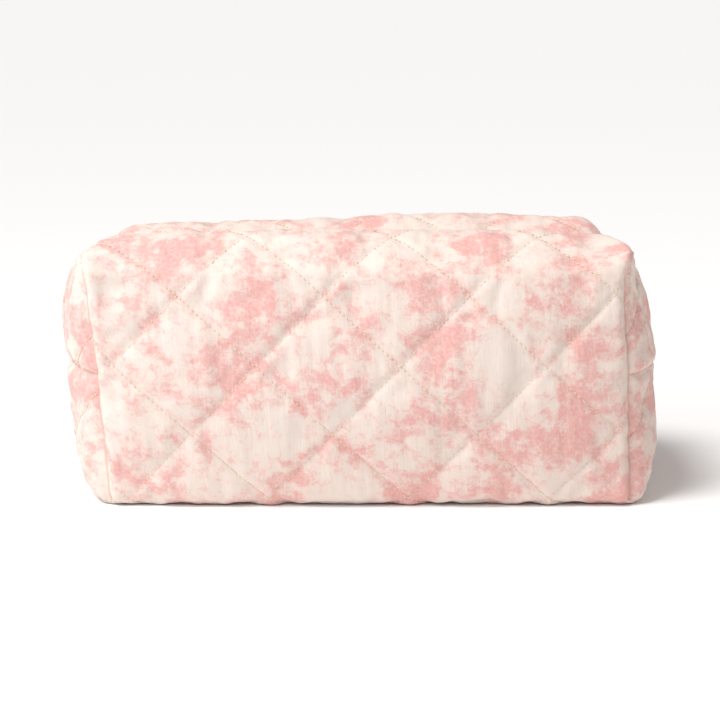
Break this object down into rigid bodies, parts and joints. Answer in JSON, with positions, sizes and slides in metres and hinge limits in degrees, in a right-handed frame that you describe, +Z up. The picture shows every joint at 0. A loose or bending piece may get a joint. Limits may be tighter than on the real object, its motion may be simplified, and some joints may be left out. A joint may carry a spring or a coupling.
{
  "type": "quilted box makeup bag",
  "caption": "Soft boxy zip-top makeup bag in quilted printed muslin, padded and lined, with boxed corners and a zip along the top.",
  "frame": {"origin": "middle of the base, on the surface that the bag stands on", "axes": "+X along the zip, -Y is the front of the bag, +Z up"},
  "size_m": [0.243, 0.106, 0.105],
  "materials": {
    "muslin_print": "crinkled double muslin, cream with a faded pink scattered print, cream quilting thread",
    "batting": "soft fibre wadding",
    "lining_cotton": "plain woven cream cotton",
    "binding_tape": "folded cotton bias tape",
    "zip_tape": "tightly woven polyester tape",
    "zip_coil": "satin nylon",
    "zip_metal": "polished pale gold plating"
  },
  "bodies": {
    "root": {"front_outer": "muslin_print", "back_outer": "muslin_print", "front_batting": "batting", "back_batting": "batting", "front_lining": "lining_cotton", "back_lining": "lining_cotton", "bottom_seam_binding": "binding_tape", "side_seam_binding_left": "binding_tape", "side_seam_binding_right": "binding_tape", "corner_binding_front_left": "binding_tape", "corner_binding_front_right": "binding_tape", "corner_binding_back_left": "binding_tape", "corner_binding_back_right": "binding_tape", "zip_bottom_stop": "zip_metal", "zip_end_tab_left": "muslin_print", "zip_end_tab_right": "muslin_print"},
    "front_flap": {"front_top_outer": "muslin_print", "front_top_batting": "batting", "front_top_lining": "lining_cotton", "front_zip_tape": "zip_tape", "front_zip_coil": "zip_coil", "front_zip_stop": "zip_metal"},
    "back_flap": {"back_top_outer": "muslin_print", "back_top_batting": "batting", "back_top_lining": "lining_cotton", "back_zip_tape": "zip_tape", "back_zip_coil": "zip_coil", "back_zip_stop": "zip_metal"},
    "slider": {"zip_slider": "zip_metal"},
    "pull": {"zip_pull": "zip_metal"}
  },
  "joints": [
    {"name": "zip_slide", "type": "slide", "parent": "root", "child": "slider", "axis": [-1, 0, 0], "range_m": [0, 0.154]},
    {"name": "pull_swing", "type": "hinge", "parent": "slider", "child": "pull", "pos_m": [0.0776, 0, 0.0992], "axis": [0, 1, 0], "range_deg": [0, 150]},
    {"name": "front_opening", "type": "hinge", "parent": "root", "child": "front_flap", "pos_m": [0, -0.0449, 0.09731], "axis": [1, 0, 0], "range_deg": [0, 70], "deforming": ["front_zip_tape", "front_zip_coil"]},
    {"name": "back_opening", "type": "hinge", "parent": "root", "child": "back_flap", "pos_m": [0, 0.0449, 0.09731], "axis": [-1, 0, 0], "range_deg": [0, 70], "deforming": ["back_zip_tape", "back_zip_coil"]}
  ],
  "couplings": [
    {"joint": "front_opening", "follows": "zip_slide", "rad_per_m": 7.9},
    {"joint": "back_opening", "follows": "zip_slide", "rad_per_m": 7.9}
  ]
}
